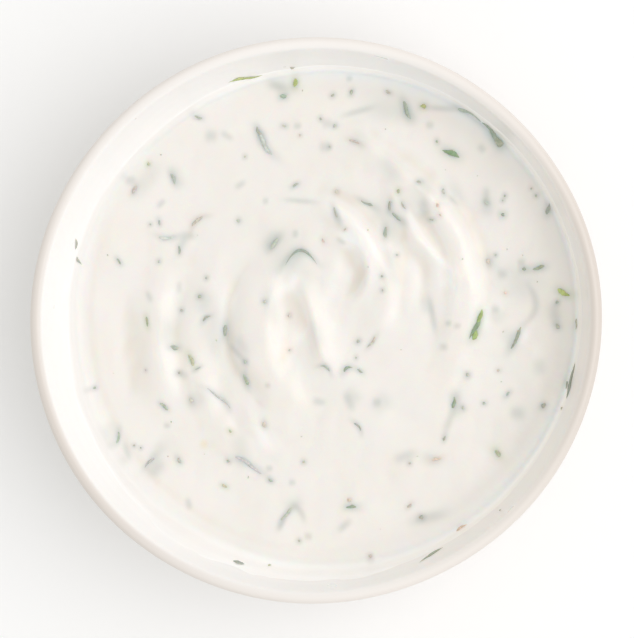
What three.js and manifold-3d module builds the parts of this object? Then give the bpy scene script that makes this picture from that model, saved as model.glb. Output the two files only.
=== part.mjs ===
// Tzatziki dip, swirled with a spoon and flecked with dill, in the small stoneware bowl it is served in.
//
// Millimetres, +Z up. The origin is the centre of the bowl's foot, on the surface it stands on.
// Two closed bodies: the bowl, and the dip up to its level with its folds and its herb pieces joined on.

import * as THREE from 'three';
import { mergeVertices } from 'three/addons/utils/BufferGeometryUtils.js';
import Module from 'manifold-3d';

// Bowl
const RIM_DIAMETER = 120;
const BOWL_HEIGHT = 42;
const OVAL = 1.013; // thrown by hand: a little wider along one direction than across it
const OVAL_AZIMUTH = 17; // degrees from X to that direction
const WALL_THICKNESS = 3;
const WALL_LEAN = 7; // degrees that the wall leans outwards at the lip
const LIP_THICKNESS = 2.6;
const STRAIGHT_WALL = 15; // how far down the curve of the wall keeps its lean
const WALL_BULGE = 6; // how far inside the lip the floor's line would meet the wall
const FLOOR_HEIGHT = 5; // top of the floor inside
const FLOOR_RADIUS = 26; // where the floor starts to rise into the wall
const FOOT_OUTER_RADIUS = 33;
const FOOT_WIDTH = 4;
const FOOT_RECESS = 1.6; // depth of the hollow under the foot ring
const FOOT_BEVEL = 0.8; // how far the inside of the foot ring slopes
const FOOT_STEP = 1; // the wall starts at least this far outside the foot ring
const BOWL_SEGMENTS = 64;
const WALL_STEPS = 9;
const LIP_STEPS = 6;

// Dip
const DIP_LEVEL = 25; // 17 mm under the rim
const DIP_CLEARANCE = 0.3; // between the dip and the bowl
const DIP_SEGMENTS = 90;
const DIP_RINGS = 30;
const DIP_SIDE_STEPS = 5;
const CROWN = 0.6; // the dip stands this much higher in the middle than at the wall
const EDGE_BAND = 9; // the folds die out over this width next to the wall
const SWIRL_CENTRE = [1, 0.5]; // the folds and the herb pieces count from here
const SHARP = 1.4; // powers of a fold's profile: a sharp crest or crease, a soft one, and a full roll
const SOFT = 1.9;
const ROUND = 2.8;
const CREST_ROUND = 0.25; // radius at the top of every crest

// Folds left by the spoon. Each row has the width of its slope on the left and on the right of the
// direction of travel, then the crest as points [x, y, height over the dip's level].
const FOLDS = [
  { name: 'roll', left: 4.2, right: 6, power: ROUND, crest: [
    [-7.5, 19, 0], [-10, 16, 0.4], [-12.5, 12.5, 0.7], [-13.5, 8.5, 1.2], [-14.5, 3.5, 1.7],
    [-14.5, -2, 2], [-14.5, -7.5, 1.9], [-13, -12.5, 1.6], [-10, -17, 1.1], [-6.5, -20.5, 0.6],
    [-2, -22.5, 0],
  ] },
  { name: 'crease beside the roll', left: 3.6, right: 1.2, power: SHARP, crest: [
    [-15, 13, 0], [-19, 8.5, -0.4], [-21.5, 3.5, -0.4], [-22, -3, -0.5], [-21.5, -9, -0.7],
    [-18.5, -14.5, -0.5], [-15, -19, -0.4], [-9.5, -22, 0],
  ] },
  { name: 'tongue', left: 3.4, right: 1.9, power: SHARP, crest: [
    [-6.5, 8.5, 0], [-4.5, 4.5, 1.4], [-3, -0.5, 2], [-2, -6, 1.9], [0, -10.5, 1], [3, -14.5, 0],
  ] },
  { name: 'hook', left: 3.2, right: 1.8, power: SHARP, crest: [
    [-0.5, 17, 0], [3.5, 16.5, 1], [7, 15, 1.5], [9, 11.5, 1.9], [9, 7.5, 1.8], [7, 4, 0.9],
    [4, 2, 0],
  ] },
  { name: 'pit in the hook', left: 1.8, right: 3.2, power: SOFT, crest: [
    [1.5, 14.5, 0], [4, 12.5, -0.5], [5.5, 9.5, -0.8], [5, 6, -0.7], [2.5, 3.5, 0],
  ] },
  { name: 'band over the hook', left: 2.2, right: 2.6, power: SOFT, crest: [
    [-3.5, 23.5, 0], [0.5, 23.5, 1.2], [4.5, 21.5, 2], [8, 18, 2.1], [11, 13.5, 1.7],
    [13, 8.5, 1.5], [13, 3.5, 1], [11.5, -1.5, 0.6], [9.5, -6.5, 0],
  ] },
  { name: 'right inner', left: 1.9, right: 1.9, power: SHARP, crest: [
    [11.5, 28.5, 0], [14.5, 25.5, 1], [16.5, 22, 1.2], [18.5, 18, 1.2], [21.5, 14.5, 1.3],
    [24.5, 11.5, 1.1], [27, 9.5, 0.6], [29.5, 7, 0],
  ] },
  { name: 'right inner groove', left: 1.9, right: 2.8, power: SOFT, crest: [
    [16, 16.5, 0], [18.5, 13, -0.3], [20.5, 9.5, -0.5], [21.5, 4.5, -0.6], [22.5, -1, -0.5],
    [24.5, -6, 0],
  ] },
  { name: 'right outer, upper end', left: 2.2, right: 4.5, power: SOFT, crest: [
    [2, 40.5, 0], [7, 37.5, 1.1], [12.5, 33.5, 1.6], [17, 29.5, 1.5], [21, 26, 0.8], [23.5, 23, 0],
  ] },
  { name: 'right outer', left: 3.4, right: 2.8, power: ROUND, crest: [
    [14.5, 31, 0], [18.5, 27.5, 1], [21.5, 24, 1.6], [24.5, 21, 2], [27, 17, 2.1], [28.5, 12.5, 2],
    [29.5, 7, 1.8], [29, 2, 1.3], [28, -4, 0.8], [26, -10, 0.4], [23.5, -15, 0],
  ] },
  { name: 'right outer groove', left: 1.6, right: 2.2, power: SOFT, crest: [
    [16.5, 28, 0], [20, 24.5, -0.7], [22.5, 20.5, -0.5], [25.5, 16, -0.3], [27.5, 11.5, -0.1],
    [28.5, 7, 0],
  ] },
  { name: 'left outer', left: 3.5, right: 4.2, power: SOFT, crest: [
    [-33, 13, 0], [-35, 9, 0.9], [-36.5, 3.5, 1.8], [-37, -2, 2.3], [-37, -7.5, 2.5],
    [-36, -13, 2.2], [-34.5, -18, 1.3], [-31.5, -22.5, 0.6], [-27.5, -27, 0],
  ] },
  { name: 'left outer groove', left: 2.6, right: 3.4, power: SOFT, crest: [
    [-41.5, 5.5, 0], [-43.5, 0.5, -0.4], [-44, -4.5, -0.6], [-44, -10, -0.6], [-43, -15.5, -0.5],
    [-40.5, -20.5, 0],
  ] },
  { name: 'left middle', left: 2.6, right: 2.2, power: SOFT, crest: [
    [-29, 5.5, 0], [-30.5, 0, 0.4], [-31, -4.5, 0.4], [-31, -9.5, 0],
  ] },
  { name: 'left inner', left: 3, right: 3, power: SOFT, crest: [
    [-15, 19.5, 0], [-19.5, 16, 0.6], [-23.5, 11.5, 0.7], [-26.5, 5.5, 0.6], [-28.5, -1, 0.5],
    [-29, -7.5, 0.7], [-28, -13, 0.9], [-26.5, -18.5, 0.9], [-24, -23, 0.8], [-20.5, -27.5, 0.6],
    [-14.5, -31.5, 0],
  ] },
  { name: 'low left', left: 2.4, right: 1.8, power: SHARP, crest: [
    [-20, -17, 0], [-17.5, -21, 0.5], [-15, -25, 0.5], [-12.5, -28.5, 0.4], [-8.5, -31.5, 0],
  ] },
  { name: 'top', left: 3, right: 3, power: SOFT, crest: [
    [-9, 28.5, 0], [-2.5, 29.5, 0.5], [3, 29.5, 0.6], [8, 28, 0.5], [12, 25.5, 0],
  ] },
];
const FOLD_STEPS = 28;

// Herb pieces that lie on the dip: [x, y, heading in degrees, length, bow, width].
const HERBS = [
  [-6, 11, 10, 8, 3, 0.8],
  [-11.5, 15.5, 50, 4.5, 0, 0.8],
  [1.5, 21.5, -65, 3.5, 0, 0.9],
  [8.5, 24, -30, 4.5, 0, 0.6],
  [13.5, 23.5, -100, 3, 0, 0.9],
  [15, 20.5, -40, 4, 0, 0.8],
  [12.5, 18, -85, 3, 0, 0.9],
  [47, 22.5, -100, 3, 0, 1.3],
  [45, 10.5, 10, 3.5, 0, 0.9],
  [40.5, -4, -120, 4.5, 0, 1],
  [42.5, 2.5, -95, 7.5, 2, 0.8],
  [50, 5, -25, 3.5, 0, 1.5],
  [49, -2, -55, 2, 0, 1.1],
  [32, -2, -110, 7, 0, 1.7],
  [50.5, -13.5, -100, 7, 0.5, 1.5],
  [27, -18.5, -95, 3, 0, 1.3],
  [25, -26, -110, 2, 0, 0.7],
  [36.5, -29, -70, 2, 0, 1.2],
  [21, -47.5, 35, 6, 0, 0.9],
  [5, -41, 0, 3, 0, 0.9],
  [9.5, -5.5, 55, 4, 0, 0.8],
  [6, -24, -55, 4, 0.5, 0.6],
  [-1, -12, -30, 3.5, 1.5, 0.7],
  [5, -12.5, 10, 4, 1.5, 0.8],
  [-22.5, -3.5, -95, 4.5, 0, 1.4],
  [-18, -14, -75, 4, 0, 1.1],
  [-24.5, -19.5, -45, 8, 1.5, 0.6],
  [-17.5, -33, -25, 9.5, 0.5, 0.8],
  [-34, -7, -5, 2, 0, 1.2],
  [-30, -9.5, -70, 3.5, 0, 1.2],
  [-36.5, -20, -35, 2, 0, 1.1],
  [-18, 48.5, 15, 8, 0.5, 0.9],
  [-7, 49, -95, 2, 0, 1.2],
  [17, 44, -65, 4.5, 0, 1.4],
  [31.5, 39.5, -40, 11, 1, 1.2],
  [27, 34.5, -25, 3.5, 0, 1.5],
  [-13, 37, -50, 7.5, -1.5, 1.2],
  [-34, 29.5, -65, 3.5, 0, 1],
  [-35, 17.5, 0, 6.5, -1, 0.8],
  [-27, 18.5, 40, 6.5, 1.5, 1.1],
  [-9, -43.5, 60, 6.5, 1, 1.2],
  [-6, -42.5, -55, 4, 0, 0.8],
  [6, 37, -25, 4, 0, 0.8],
  [34, 25.5, -90, 3, 0, 1.1],
  [23.5, -30, 15, 2.5, 0, 0.8],
  [28, -43, 30, 2.5, 0, 1.2],
];
const HERB_SIDES = 4;
const HERB_STEPS = 5; // along a short piece
const HERB_LONG = 5; // pieces over this length get one more step for each millimetre
const HERB_LIFT = 0.12; // centre line over the dip's surface
const HERB_FLATNESS = 0.8; // thickness over width

const wasm = await Module();
wasm.setup();

// Closed solid of a geometry whose shared vertices are merged
function solidOf(geometry) {
  geometry.deleteAttribute('normal');
  geometry.deleteAttribute('uv');
  const merged = mergeVertices(geometry, 1e-4);
  const index = merged.index.array;
  const triVerts = [];
  for (let i = 0; i < index.length; i += 3) {
    const [a, b, c] = [index[i], index[i + 1], index[i + 2]];
    if (a !== b && b !== c && c !== a) {
      triVerts.push(a, b, c);
    }
  }
  return new wasm.Manifold(new wasm.Mesh({
    numProp: 3,
    vertProperties: new Float32Array(merged.attributes.position.array),
    triVerts: new Uint32Array(triVerts),
  }));
}

function geometryOf(solid) {
  const mesh = solid.getMesh();
  const geometry = new THREE.BufferGeometry();
  geometry.setAttribute('position', new THREE.BufferAttribute(mesh.vertProperties, 3));
  geometry.setIndex(new THREE.BufferAttribute(mesh.triVerts, 1));
  return geometry;
}

// Inside of the wall, from the floor's edge up to the lip
const LIP_RADIUS = LIP_THICKNESS / 2;
const lean = THREE.MathUtils.degToRad(WALL_LEAN);
const lipBase = new THREE.Vector2(
  RIM_DIAMETER / 2 - LIP_RADIUS - LIP_RADIUS * Math.cos(lean),
  BOWL_HEIGHT - LIP_RADIUS + LIP_RADIUS * Math.sin(lean),
);
const wallDirection = new THREE.Vector2(Math.sin(lean), Math.cos(lean));
const innerWall = new THREE.CubicBezierCurve(
  new THREE.Vector2(FLOOR_RADIUS, FLOOR_HEIGHT),
  new THREE.Vector2(lipBase.x - WALL_BULGE, FLOOR_HEIGHT),
  lipBase.clone().addScaledVector(wallDirection, -STRAIGHT_WALL),
  lipBase,
);

// Point of the inner wall at t, moved by a distance towards the inside of the bowl
function wallPoint(t, inwards) {
  const tangent = innerWall.getTangent(t);
  const normal = new THREE.Vector2(-tangent.y, tangent.x);
  return innerWall.getPoint(t).addScaledVector(normal, inwards);
}

// Where the wall, moved inwards, passes a height
function wallParameterAt(height, inwards) {
  let low = 0;
  let high = 1;
  while (high - low > 1e-6) {
    const middle = (low + high) / 2;
    if (wallPoint(middle, inwards).y < height) {
      low = middle;
    } else {
      high = middle;
    }
  }
  return low;
}

const ovalTurn = THREE.MathUtils.degToRad(OVAL_AZIMUTH);

// Turned solid, stood up along Z and made slightly oval as the bowl is
function turned(profile, segments) {
  const geometry = new THREE.LatheGeometry(profile, segments);
  geometry.rotateX(Math.PI / 2);
  geometry.scale(OVAL, 1 / OVAL, 1);
  geometry.rotateZ(ovalTurn);
  return geometry;
}

function bowlGeometry() {
  const footInner = FOOT_OUTER_RADIUS - FOOT_WIDTH;
  const profile = [
    new THREE.Vector2(0, FOOT_RECESS),
    new THREE.Vector2(footInner - FOOT_BEVEL, FOOT_RECESS),
    new THREE.Vector2(footInner, 0),
    new THREE.Vector2(FOOT_OUTER_RADIUS, 0),
  ];
  for (let i = 0; i <= WALL_STEPS; i += 1) {
    const thickness = THREE.MathUtils.lerp(WALL_THICKNESS, LIP_THICKNESS, i / WALL_STEPS);
    const point = wallPoint(i / WALL_STEPS, -thickness);
    if (point.x > FOOT_OUTER_RADIUS + FOOT_STEP) {
      profile.push(point);
    }
  }
  const outerEnd = wallPoint(1, -LIP_THICKNESS);
  const innerEnd = wallPoint(1, 0);
  const lipCentre = outerEnd.clone().add(innerEnd).multiplyScalar(0.5);
  const startAngle = outerEnd.clone().sub(lipCentre).angle();
  for (let i = 1; i < LIP_STEPS; i += 1) {
    const angle = startAngle + Math.PI * i / LIP_STEPS;
    const outwards = new THREE.Vector2(Math.cos(angle), Math.sin(angle));
    profile.push(lipCentre.clone().addScaledVector(outwards, LIP_RADIUS));
  }
  for (let i = WALL_STEPS; i >= 0; i -= 1) {
    profile.push(wallPoint(i / WALL_STEPS, 0));
  }
  profile.push(new THREE.Vector2(0, FLOOR_HEIGHT));
  return turned(profile, BOWL_SEGMENTS);
}

// Folds sampled along their crests: a smooth curve through each row's points
const [centreX, centreY] = SWIRL_CENTRE;
const foldSamples = FOLDS.map(({ left, right, power, crest }) => {
  const line = new THREE.SplineCurve(crest.map(([x, y]) => new THREE.Vector2(x + centreX, y + centreY)));
  const heights = new THREE.SplineCurve(crest.map(([, , height], i) => new THREE.Vector2(i, height)));
  const samples = [];
  for (let i = 0; i <= FOLD_STEPS; i += 1) {
    const point = line.getPoint(i / FOLD_STEPS);
    samples.push({ x: point.x, y: point.y, height: heights.getPoint(i / FOLD_STEPS).y });
  }
  return { left, right, power, samples };
});

// Height that one fold adds at a place, from the nearest point of its crest
function foldHeight({ left, right, power, samples }, x, y) {
  let nearest = Infinity;
  let height = 0;
  let side = 1;
  for (let i = 0; i < samples.length - 1; i += 1) {
    const a = samples[i];
    const b = samples[i + 1];
    const dx = b.x - a.x;
    const dy = b.y - a.y;
    const t = THREE.MathUtils.clamp(((x - a.x) * dx + (y - a.y) * dy) / (dx * dx + dy * dy), 0, 1);
    const offX = x - a.x - dx * t;
    const offY = y - a.y - dy * t;
    const distance = Math.hypot(offX, offY);
    if (distance < nearest) {
      nearest = distance;
      height = THREE.MathUtils.lerp(a.height, b.height, t);
      side = dx * offY - dy * offX;
    }
  }
  const reach = side > 0 ? left : right;
  const rounded = Math.hypot(nearest, CREST_ROUND) - CREST_ROUND;
  return height * Math.exp(-((rounded / reach) ** power));
}

const dipEdge = wallPoint(wallParameterAt(DIP_LEVEL, DIP_CLEARANCE), DIP_CLEARANCE).x;

// Height of the dip's surface over its level
function relief(x, y) {
  const along = (x * Math.cos(ovalTurn) + y * Math.sin(ovalTurn)) / OVAL;
  const across = (y * Math.cos(ovalTurn) - x * Math.sin(ovalTurn)) * OVAL;
  const fromWall = dipEdge - Math.hypot(along, across);
  const fade = THREE.MathUtils.smoothstep(fromWall, 0, EDGE_BAND);
  const folds = foldSamples.reduce((sum, fold) => sum + foldHeight(fold, x, y), 0);
  return (CROWN + folds) * fade;
}

function dipBodyGeometry() {
  const profile = [new THREE.Vector2(0, FLOOR_HEIGHT + DIP_CLEARANCE)];
  const lastT = wallParameterAt(DIP_LEVEL, DIP_CLEARANCE);
  for (let i = 0; i <= DIP_SIDE_STEPS; i += 1) {
    profile.push(wallPoint(lastT * i / DIP_SIDE_STEPS, DIP_CLEARANCE));
  }
  const surfaceStart = profile.length;
  for (let i = 1; i <= DIP_RINGS; i += 1) {
    profile.push(new THREE.Vector2(dipEdge * (1 - i / DIP_RINGS), DIP_LEVEL));
  }
  const geometry = turned(profile, DIP_SEGMENTS);
  const position = geometry.attributes.position;
  for (let i = 0; i < position.count; i += 1) {
    if (i % profile.length >= surfaceStart) {
      position.setZ(i, DIP_LEVEL + relief(position.getX(i), position.getY(i)));
    }
  }
  return geometry;
}

// One herb piece: a thin spindle, bent to its bow and laid along the dip's surface, half sunk
function herbGeometry([x, y, heading, length, bow, width]) {
  const steps = HERB_STEPS + Math.max(0, Math.round(length - HERB_LONG));
  const geometry = new THREE.SphereGeometry(1, HERB_SIDES, steps);
  const position = geometry.attributes.position;
  const turn = THREE.MathUtils.degToRad(heading);
  for (let i = 0; i < position.count; i += 1) {
    const along = position.getY(i);
    const forward = along * length / 2;
    const sideways = bow * (1 - along * along) - position.getX(i) * width / 2;
    const px = centreX + x + forward * Math.cos(turn) - sideways * Math.sin(turn);
    const py = centreY + y + forward * Math.sin(turn) + sideways * Math.cos(turn);
    const up = position.getZ(i) * HERB_FLATNESS * width / 2;
    position.setXYZ(i, px, py, DIP_LEVEL + relief(px, py) + HERB_LIFT + up);
  }
  return geometry;
}

function dipGeometry() {
  const body = solidOf(dipBodyGeometry());
  const solid = HERBS.reduce((joined, row) => joined.add(solidOf(herbGeometry(row))), body);
  return geometryOf(solid);
}

function namedMesh(name, geometry, material) {
  const mesh = new THREE.Mesh(geometry, material);
  mesh.name = name;
  return mesh;
}

const bowlMaterial = new THREE.MeshStandardMaterial({ color: 0xf1e8e0, roughness: 0.35, metalness: 0 });
const dipMaterial = new THREE.MeshStandardMaterial({ color: 0xf5f0ea, roughness: 0.45, metalness: 0 });

const tzatziki = new THREE.Group();
tzatziki.add(namedMesh('bowl', bowlGeometry(), bowlMaterial));
tzatziki.add(namedMesh('dip', dipGeometry(), dipMaterial));

export default tzatziki;
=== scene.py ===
# Tzatziki dip, swirled with a spoon and flecked with dill, in its small stoneware bowl.
#
# Tables and shape functions are in millimetres, +Z up, with the origin under the middle of the bowl's
# foot. Meshes are made in metres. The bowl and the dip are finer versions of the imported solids, from
# the same sizes and the same rows of folds.

import math

import bpy
import numpy as np
from mathutils import Matrix


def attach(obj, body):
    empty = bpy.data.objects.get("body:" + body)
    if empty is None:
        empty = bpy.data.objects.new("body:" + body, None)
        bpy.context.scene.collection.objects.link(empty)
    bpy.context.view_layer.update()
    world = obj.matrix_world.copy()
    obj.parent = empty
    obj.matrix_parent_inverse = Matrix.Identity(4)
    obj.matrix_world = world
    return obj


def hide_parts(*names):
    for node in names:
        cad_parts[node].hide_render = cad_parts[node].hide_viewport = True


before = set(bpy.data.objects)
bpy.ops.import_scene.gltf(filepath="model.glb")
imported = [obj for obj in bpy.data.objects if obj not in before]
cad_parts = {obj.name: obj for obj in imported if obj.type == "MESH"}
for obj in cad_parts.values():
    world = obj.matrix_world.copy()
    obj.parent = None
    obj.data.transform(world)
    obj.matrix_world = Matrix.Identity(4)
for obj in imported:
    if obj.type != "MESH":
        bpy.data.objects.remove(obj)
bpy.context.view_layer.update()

MM = 0.001

# ---------------------------------------------------------------- sizes

RIM_DIAMETER = 120
BOWL_HEIGHT = 42
OVAL = 1.013  # wider along one direction than across it
OVAL_AZIMUTH = 17
WALL_THICKNESS = 3
WALL_LEAN = 7
LIP_THICKNESS = 2.6
STRAIGHT_WALL = 15
WALL_BULGE = 6
FLOOR_HEIGHT = 5
FLOOR_RADIUS = 26
FOOT_OUTER_RADIUS = 33
FOOT_WIDTH = 4
FOOT_RECESS = 1.6

DIP_LEVEL = 25
SWIRL_CENTRE = (1, 0.5)  # the rows of folds and herb pieces count from here
CROWN = 0.6  # the middle of the open surface stands this much over its level
EDGE_BAND = 9  # folds fade out over this width along the wall
SHARP = 1.4  # powers of a fold's profile: a sharp crest or crease, a soft one, and a full roll
SOFT = 1.9
ROUND = 2.8
CREST_ROUND = 0.25  # radius that takes the edge off a crest
FOLD_BLEND = 0.5  # how softly a bent fold passes from one stretch of its crest to the next
FOLD_STEPS = 48  # stretches of a fold's smooth crest

# Folds left by the spoon: slope width on the left and on the right of the direction of travel, then
# the crest as points (x, y, height over the dip's level).
FOLDS = [
    (4.2, 6, ROUND, [
        (-7.5, 19, 0), (-10, 16, 0.4), (-12.5, 12.5, 0.7), (-13.5, 8.5, 1.2), (-14.5, 3.5, 1.7),
        (-14.5, -2, 2), (-14.5, -7.5, 1.9), (-13, -12.5, 1.6), (-10, -17, 1.1), (-6.5, -20.5, 0.6),
        (-2, -22.5, 0),
    ]),
    (3.6, 1.2, SHARP, [
        (-15, 13, 0), (-19, 8.5, -0.4), (-21.5, 3.5, -0.4), (-22, -3, -0.5), (-21.5, -9, -0.7),
        (-18.5, -14.5, -0.5), (-15, -19, -0.4), (-9.5, -22, 0),
    ]),
    (3.4, 1.9, SHARP, [
        (-6.5, 8.5, 0), (-4.5, 4.5, 1.4), (-3, -0.5, 2), (-2, -6, 1.9), (0, -10.5, 1), (3, -14.5, 0),
    ]),
    (3.2, 1.8, SHARP, [
        (-0.5, 17, 0), (3.5, 16.5, 1), (7, 15, 1.5), (9, 11.5, 1.9), (9, 7.5, 1.8), (7, 4, 0.9), (4, 2, 0),
    ]),
    (1.8, 3.2, SOFT, [(1.5, 14.5, 0), (4, 12.5, -0.5), (5.5, 9.5, -0.8), (5, 6, -0.7), (2.5, 3.5, 0)]),
    (2.2, 2.6, SOFT, [
        (-3.5, 23.5, 0), (0.5, 23.5, 1.2), (4.5, 21.5, 2), (8, 18, 2.1), (11, 13.5, 1.7), (13, 8.5, 1.5),
        (13, 3.5, 1), (11.5, -1.5, 0.6), (9.5, -6.5, 0),
    ]),
    (1.9, 1.9, SHARP, [
        (11.5, 28.5, 0), (14.5, 25.5, 1), (16.5, 22, 1.2), (18.5, 18, 1.2), (21.5, 14.5, 1.3),
        (24.5, 11.5, 1.1), (27, 9.5, 0.6), (29.5, 7, 0),
    ]),
    (1.9, 2.8, SOFT, [
        (16, 16.5, 0), (18.5, 13, -0.3), (20.5, 9.5, -0.5), (21.5, 4.5, -0.6), (22.5, -1, -0.5),
        (24.5, -6, 0),
    ]),
    (2.2, 4.5, SOFT, [
        (2, 40.5, 0), (7, 37.5, 1.1), (12.5, 33.5, 1.6), (17, 29.5, 1.5), (21, 26, 0.8), (23.5, 23, 0),
    ]),
    (3.4, 2.8, ROUND, [
        (14.5, 31, 0), (18.5, 27.5, 1), (21.5, 24, 1.6), (24.5, 21, 2), (27, 17, 2.1), (28.5, 12.5, 2),
        (29.5, 7, 1.8), (29, 2, 1.3), (28, -4, 0.8), (26, -10, 0.4), (23.5, -15, 0),
    ]),
    (1.6, 2.2, SOFT, [
        (16.5, 28, 0), (20, 24.5, -0.7), (22.5, 20.5, -0.5), (25.5, 16, -0.3), (27.5, 11.5, -0.1),
        (28.5, 7, 0),
    ]),
    (3.5, 4.2, SOFT, [
        (-33, 13, 0), (-35, 9, 0.9), (-36.5, 3.5, 1.8), (-37, -2, 2.3), (-37, -7.5, 2.5), (-36, -13, 2.2),
        (-34.5, -18, 1.3), (-31.5, -22.5, 0.6), (-27.5, -27, 0),
    ]),
    (2.6, 3.4, SOFT, [
        (-41.5, 5.5, 0), (-43.5, 0.5, -0.4), (-44, -4.5, -0.6), (-44, -10, -0.6), (-43, -15.5, -0.5),
        (-40.5, -20.5, 0),
    ]),
    (2.6, 2.2, SOFT, [(-29, 5.5, 0), (-30.5, 0, 0.4), (-31, -4.5, 0.4), (-31, -9.5, 0)]),
    (3, 3, SOFT, [
        (-15, 19.5, 0), (-19.5, 16, 0.6), (-23.5, 11.5, 0.7), (-26.5, 5.5, 0.6), (-28.5, -1, 0.5),
        (-29, -7.5, 0.7), (-28, -13, 0.9), (-26.5, -18.5, 0.9), (-24, -23, 0.8), (-20.5, -27.5, 0.6),
        (-14.5, -31.5, 0),
    ]),
    (2.4, 1.8, SHARP, [
        (-20, -17, 0), (-17.5, -21, 0.5), (-15, -25, 0.5), (-12.5, -28.5, 0.4), (-8.5, -31.5, 0),
    ]),
    (3, 3, SOFT, [(-9, 28.5, 0), (-2.5, 29.5, 0.5), (3, 29.5, 0.6), (8, 28, 0.5), (12, 25.5, 0)]),
]

# Pieces in and on the dip: (x, y, heading in degrees, length, width), then how far it bows, where it isn't
# straight. A place past the dip's edge counts on up the wall.
DARK_LEAVES = [
    (40.1, -4.9, -119, 6.4, 0.9), (52, -13.5, -100, 8.5, 1.3, 1), (37.5, 21.5, 0, 1, 0.9),
    (34.6, 38.8, -50, 6.5, 1.2, 0.5), (4.3, -11.8, 30, 2.6, 0.8, 0.6), (-9.8, 46.9, 5, 1.7, 1.1),
    (-19.5, -54.3, -20, 3, 1.2), (45, 10.3, 10, 3.5, 0.9), (42, 10, 0, 1.3, 0.8), (16.8, 44, -65, 5, 1),
    (27, -18.5, -95, 3.6, 0.9), (-6, 10, 7, 7.9, 0.8, 3.8), (24.5, -53, 50, 7, 0.8), (5, -41, 0, 3, 0.8),
    (36.4, 36.9, -55, 3.4, 1.8, 0.2),
]
DEEP_LEAVES = [(31.5, -2, -108, 6.5, 1.1, 0.4), (26.5, 34.5, -25, 4.2, 1.4)]
VIVID_CHIPS = [(32.4, -0.5, -105, 4.5, 1, 0.3), (31.6, -3.9, -106, 3, 1.2)]
LEAVES = [
    (-11.5, 15.5, 50, 4.5, 1), (1.9, 22.2, -65, 3.5, 0.7), (8.5, 24, -30, 4.5, 0.6),
    (13.5, 23.5, -98, 3, 0.8), (15, 21, -35, 4, 0.7), (16.5, 23.5, -65, 3, 0.5), (12.5, 18, -85, 3, 0.9),
    (20, 28.5, 0, 1.5, 0.7), (25, 26.5, -80, 2, 0.6), (22.5, 20.5, 0, 1.5, 0.4), (34, 24, -55, 1, 0.6),
    (38, 25.5, 0, 0.6, 0.6), (51, -14.5, -95, 2.5, 0.7), (44.5, 25.5, 0, 0.7, 0.7), (49, 3, -20, 0.8, 0.9),
    (49, -2, -55, 1.7, 1), (50.5, -19.5, 0, 0.8, 0.8), (46, -19, 65, 1.6, 1), (30, -12.5, -80, 1.2, 0.9),
    (38.5, -16.5, 50, 1.8, 0.6), (33.5, -18.5, 0, 0.9, 0.7), (25, -26, -105, 1.7, 0.6),
    (29, -19.5, -55, 1.1, 0.6), (17.5, -31.5, 0, 0.8, 0.6), (20, -43, 0, 1.3, 1.1),
    (6, -24, -55, 3.6, 0.5, 0.5), (-1, -12, -28, 3.4, 0.6, 1.3), (-9.2, -43.2, 52, 5.2, 0.7, 0.4),
    (6.8, -11.8, -30, 1.8, 0.5), (6.5, -5.5, 45, 1.2, 0.8), (-22.5, -3.5, -92, 4, 1), (-18, -10, 0, 1, 1),
    (-18, -14, -75, 3.6, 1), (-36, -19.8, -38, 2.6, 0.8), (-12.8, -35.6, -30, 1.2, 0.7),
    (-22, -31.6, -30, 1, 0.6), (-33, -31.5, -55, 1.8, 0.8), (-46.5, -26.5, -97, 3.8, 0.6),
    (-43, -28.5, 0, 0.6, 0.5), (-41.5, -29, 0, 0.5, 0.5), (-51.7, -16, 10, 0.8, 0.6),
    (-33.5, -7, -15, 2.5, 1.2), (-32.5, -12.5, 0, 0.6, 0.6), (-28.5, -11.5, 35, 2, 0.3),
    (-26.5, 8, 0, 0.7, 0.7), (-28, 4, 0, 1.2, 0.9), (-32, 1, 0, 0.7, 0.7), (-26.5, -1, 40, 2.6, 0.6, 0.4),
    (-13.5, 3, 0, 0.9, 0.8), (-7.5, 54, -15, 1.2, 0.8), (1, 47, 45, 1.1, 0.8), (5, 47.5, 75, 1.6, 0.8),
    (-1.5, 42, -65, 1, 0.6), (1.5, 40.5, -70, 0.9, 0.8), (0.5, 36, 0, 0.6, 0.6),
    (30.4, 42.6, -31, 8, 0.9, 0.2), (23.5, 37, -70, 1, 0.6), (-15, 39.3, -65, 3, 0.9),
    (-9.5, 40.5, -10, 1.4, 0.6), (-18, 34, 0, 0.6, 0.5), (-28.5, 42.5, -15, 2.3, 0.6),
    (-34, 29.5, -65, 3.5, 0.9), (-37, 20, -75, 1.7, 0.5), (-39, 19.5, 0, 0.5, 0.5),
    (-32.5, 14, -90, 2.1, 0.6), (-37, 11.5, 0, 0.7, 0.7), (-46, 11.5, -50, 2.1, 0.6),
    (-55.8, 15.8, -78, 2.9, 0.7), (-19.5, 20.3, 45, 0.9, 0.9), (-7, 27.9, 30, 2, 0.6), (15, 13, 0, 0.5, 0.4),
    (12, 8.5, 0, 0.6, 0.6), (12, 5.5, -90, 0.6, 0.5), (-5.5, -31.5, 0, 0.8, 0.7),
    (-6.5, -48.5, -70, 0.8, 0.7), (37.5, 24.5, 0, 0.5, 0.4), (47, 22.5, -100, 3.2, 1), (36, 13, 0, 0.5, 0.4),
    (6, -9, 0, 0.5, 0.5), (-54.5, 11.7, -60, 2.4, 0.7),
]
PALE_STEMS = [
    (-24.6, -18.7, -44, 9.4, 0.5, 1.4), (-17.6, -33, -27, 10.4, 0.8, 0.8), (-39.6, -32, 50, 4.2, 0.6),
    (-13.1, 36.7, -51, 8.6, 1.1, -0.6), (-35, 17.5, 0, 6, 0.7, -1),
]
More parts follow.
